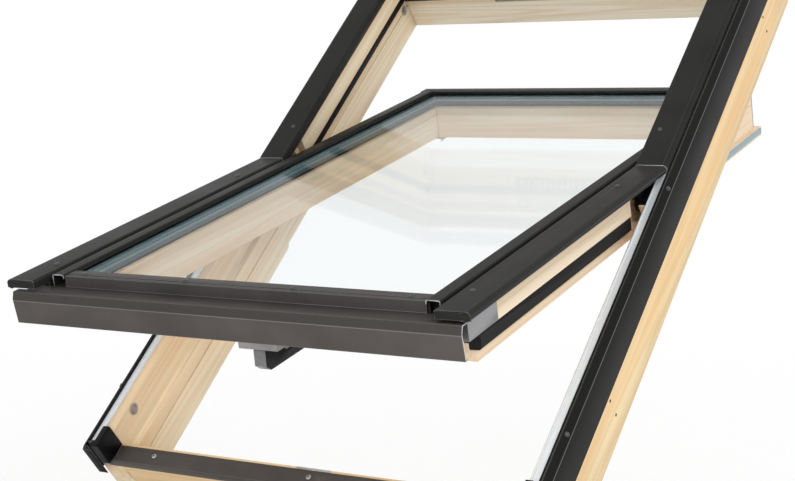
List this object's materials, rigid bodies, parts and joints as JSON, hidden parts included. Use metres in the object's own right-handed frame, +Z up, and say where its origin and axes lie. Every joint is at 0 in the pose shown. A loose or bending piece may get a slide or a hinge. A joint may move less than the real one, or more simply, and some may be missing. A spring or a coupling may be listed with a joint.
{
  "type": "roof window",
  "caption": "Centre-pivot roof window: pine frame and glazed pine sash with dark folded-metal covers; the sash tilts open on arc hinges and turns over for cleaning.",
  "frame": {"origin": "Middle of the sill's room-side face.", "axes": "+Z up, +X across the window to the right as seen from outside, +Y horizontally into the roof, up the slope. The window lies in a roof of 42 degrees pitch."},
  "size_m": [0.78, 1.1503, 0.9035],
  "materials": {
    "pine": "clear-coated pine",
    "rubber": "matte black seal",
    "slate_seal": "grey-blue soft seal",
    "dark_sheet": "dark grey satin coat on aluminium sheet",
    "brown_sheet": "grey-brown satin coat on aluminium sheet",
    "mill_sheet": "plain mill aluminium",
    "black_plastic": "matte black moulding",
    "grey_plastic": "grey moulding",
    "steel": "zinc-plated steel",
    "runner_brass": "passivated yellow metal",
    "pane_glass": "clear float glass"
  },
  "bodies": {
    "frame": {"left_jamb": "pine", "right_jamb": "pine", "head": "pine", "sill": "pine", "left_upper_stop": "pine", "right_upper_stop": "pine", "head_stop": "pine", "frame_gasket": "rubber", "left_side_cladding": "dark_sheet", "right_side_cladding": "dark_sheet", "left_drain_strip": "mill_sheet", "right_drain_strip": "mill_sheet", "left_side_seal": "rubber", "right_side_seal": "rubber", "sill_cladding": "brown_sheet", "head_cladding": "dark_sheet", "left_upper_cover": "dark_sheet", "right_upper_cover": "dark_sheet", "left_corner_block": "black_plastic", "right_corner_block": "black_plastic", "left_hinge_track": "black_plastic", "right_hinge_track": "black_plastic", "striker_plate": "steel", "vent_grille": "grey_plastic", "bolt_bushes": "grey_plastic", "frame_screws": "steel"},
    "sash": {"left_stile": "pine", "right_stile": "pine", "top_rail": "pine", "bottom_rail": "pine", "outer_pane": "pane_glass", "inner_pane": "pane_glass", "spacer_bar": "mill_sheet", "edge_sealant": "rubber", "glazing_tape": "rubber", "left_glazing_bead": "dark_sheet", "right_glazing_bead": "dark_sheet", "bottom_glazing_bead": "dark_sheet", "bead_gasket": "rubber", "flange_seal": "slate_seal", "top_edge_cladding": "dark_sheet", "left_lower_cover": "dark_sheet", "right_lower_cover": "dark_sheet", "bottom_tray": "dark_sheet", "fascia": "brown_sheet", "left_corner_plate": "steel", "right_corner_plate": "steel", "sash_gasket": "rubber", "left_hinge_runner": "runner_brass", "right_hinge_runner": "runner_brass", "lock_case": "grey_plastic", "handle_base": "grey_plastic", "bolt_guide": "grey_plastic", "sash_screws": "steel"},
    "handle": {"handle_lever": "black_plastic"},
    "latch": {"latch_bolt": "steel"},
    "cleaning_bolt": {"barrel_bolt": "steel"},
    "vent_slide": {"vent_slider": "grey_plastic"}
  },
  "joints": [
    {"name": "sash_pivot", "type": "hinge", "parent": "frame", "child": "sash", "pos_m": [0, 0.33898, 0.50975], "axis": [-1, 0, 0], "range_deg": [-28, 137]},
    {"name": "handle_turn", "type": "hinge", "parent": "sash", "child": "handle", "pos_m": [0, -0.16953, 0.27579], "axis": [0, -0.2419, 0.9703], "range_deg": [0, 90]},
    {"name": "latch_slide", "type": "slide", "parent": "sash", "child": "latch", "axis": [0, -0.9703, -0.2419], "range_m": [0, 0.014]},
    {"name": "bolt_slide", "type": "slide", "parent": "sash", "child": "cleaning_bolt", "axis": [-1, 0, 0], "range_m": [0, 0.017]},
    {"name": "vent_slide", "type": "slide", "parent": "frame", "child": "vent_slide", "axis": [1, 0, 0], "range_m": [0, 0.006]}
  ],
  "couplings": [
    {"joint": "latch_slide", "follows": "handle_turn", "m_per_rad": 0.008912}
  ]
}
